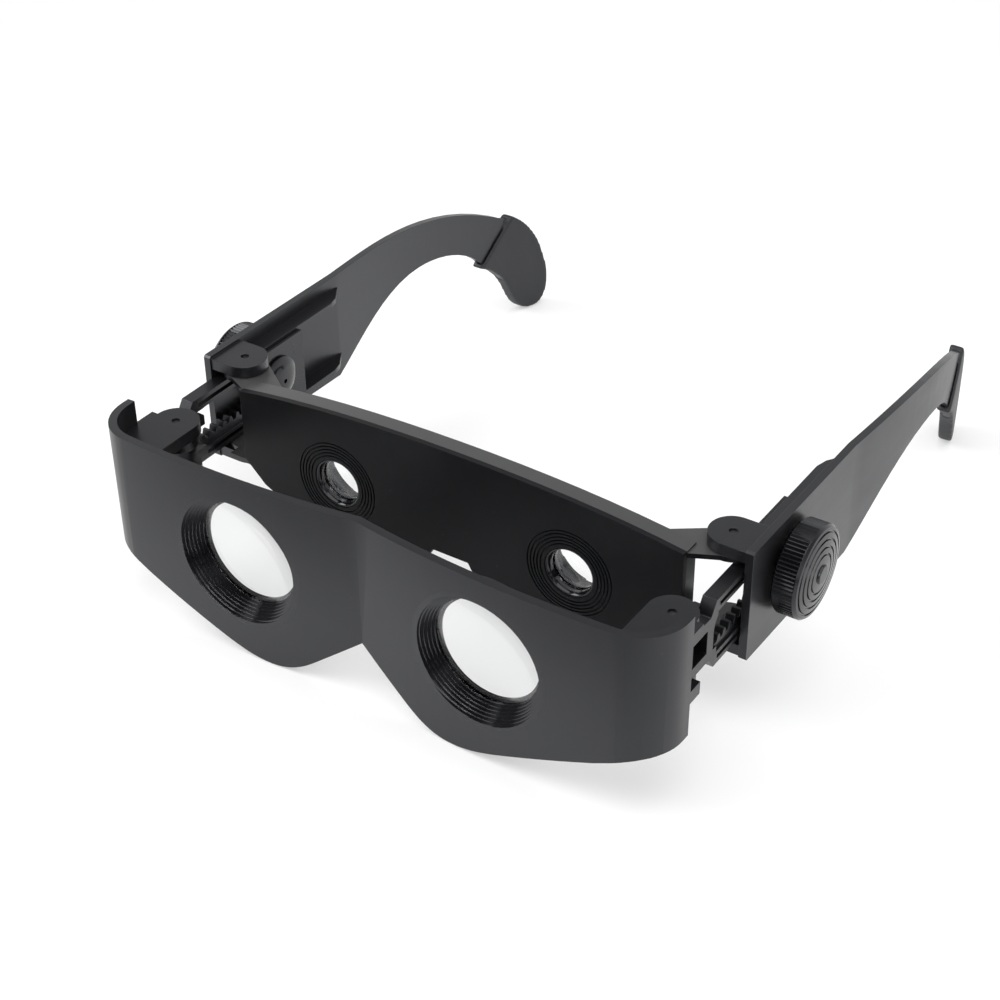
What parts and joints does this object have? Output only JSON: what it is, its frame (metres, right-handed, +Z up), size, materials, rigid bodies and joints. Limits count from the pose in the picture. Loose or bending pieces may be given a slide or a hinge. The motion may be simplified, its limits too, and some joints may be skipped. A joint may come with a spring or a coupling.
{
  "type": "binocular glasses",
  "caption": "Hands-free binocular glasses: a lens frame on rack-driven telescoping links ahead of an eyepiece frame, side focus knobs and folding temples.",
  "frame": {"origin": "middle of the overall box, on the table under the glasses", "axes": "+X towards the wearer's left, +Y from the lenses towards the ears, +Z up"},
  "size_m": [0.1646, 0.178, 0.0476],
  "materials": {
    "frame_plastic": "satin charcoal",
    "dark_plastic": "semi-gloss black",
    "knob_plastic": "satin black",
    "tip_rubber": "soft matte black",
    "lens_glass": "clear",
    "pin_steel": "blackened"
  },
  "bodies": {
    "eyepiece_body": {"eyepiece_frame": "frame_plastic", "eyepiece_front_plate": "frame_plastic", "left_eyecup": "dark_plastic", "right_eyecup": "dark_plastic", "left_eyepiece_lens": "lens_glass", "right_eyepiece_lens": "lens_glass", "left_eyepiece_ring": "dark_plastic", "right_eyepiece_ring": "dark_plastic"},
    "objective_body": {"objective_frame": "frame_plastic", "left_objective_lens": "lens_glass", "right_objective_lens": "lens_glass", "left_objective_ring": "dark_plastic", "right_objective_ring": "dark_plastic", "left_link_pins": "pin_steel", "right_link_pins": "pin_steel"},
    "left_temple_body": {"left_temple": "frame_plastic", "left_temple_tip": "tip_rubber", "left_rack_retainer": "dark_plastic", "left_hinge_pins": "pin_steel"},
    "left_knob_body": {"left_focus_knob": "knob_plastic", "left_pinion": "knob_plastic", "left_pinion_cap": "knob_plastic"},
    "left_rack_body": {"left_rack": "dark_plastic"},
    "right_temple_body": {"right_temple": "frame_plastic", "right_temple_tip": "tip_rubber", "right_rack_retainer": "dark_plastic", "right_hinge_pins": "pin_steel"},
    "right_knob_body": {"right_focus_knob": "knob_plastic", "right_pinion": "knob_plastic", "right_pinion_cap": "knob_plastic"},
    "right_rack_body": {"right_rack": "dark_plastic"}
  },
  "joints": [
    {"name": "focus", "type": "slide", "parent": "eyepiece_body", "child": "objective_body", "axis": [0, 1, 0], "range_m": [0, 0.0195]},
    {"name": "left_temple_fold", "type": "hinge", "parent": "eyepiece_body", "child": "left_temple_body", "pos_m": [0.0662, -0.0421, 0.0309], "axis": [0, 0, 1], "range_deg": [0, 85]},
    {"name": "left_knob_turn", "type": "hinge", "parent": "left_temple_body", "child": "left_knob_body", "pos_m": [0.0749, -0.0297, 0.0317], "axis": [1, 0, 0], "range_deg": [0, 310.4]},
    {"name": "left_rack_slide", "type": "slide", "parent": "left_temple_body", "child": "left_rack_body", "axis": [0, 1, 0], "range_m": [0, 0.0195]},
    {"name": "right_temple_fold", "type": "hinge", "parent": "eyepiece_body", "child": "right_temple_body", "pos_m": [-0.0662, -0.0421, 0.0309], "axis": [0, 0, -1], "range_deg": [0, 24]},
    {"name": "right_knob_turn", "type": "hinge", "parent": "right_temple_body", "child": "right_knob_body", "pos_m": [-0.0749, -0.0297, 0.0317], "axis": [1, 0, 0], "range_deg": [0, 310.4]},
    {"name": "right_rack_slide", "type": "slide", "parent": "right_temple_body", "child": "right_rack_body", "axis": [0, 1, 0], "range_m": [0, 0.0195]}
  ],
  "couplings": [
    {"joint": "left_knob_turn", "follows": "focus", "rad_per_m": 277.78},
    {"joint": "left_rack_slide", "follows": "focus", "ratio": 1},
    {"joint": "right_knob_turn", "follows": "focus", "rad_per_m": 277.78},
    {"joint": "right_rack_slide", "follows": "focus", "ratio": 1}
  ]
}
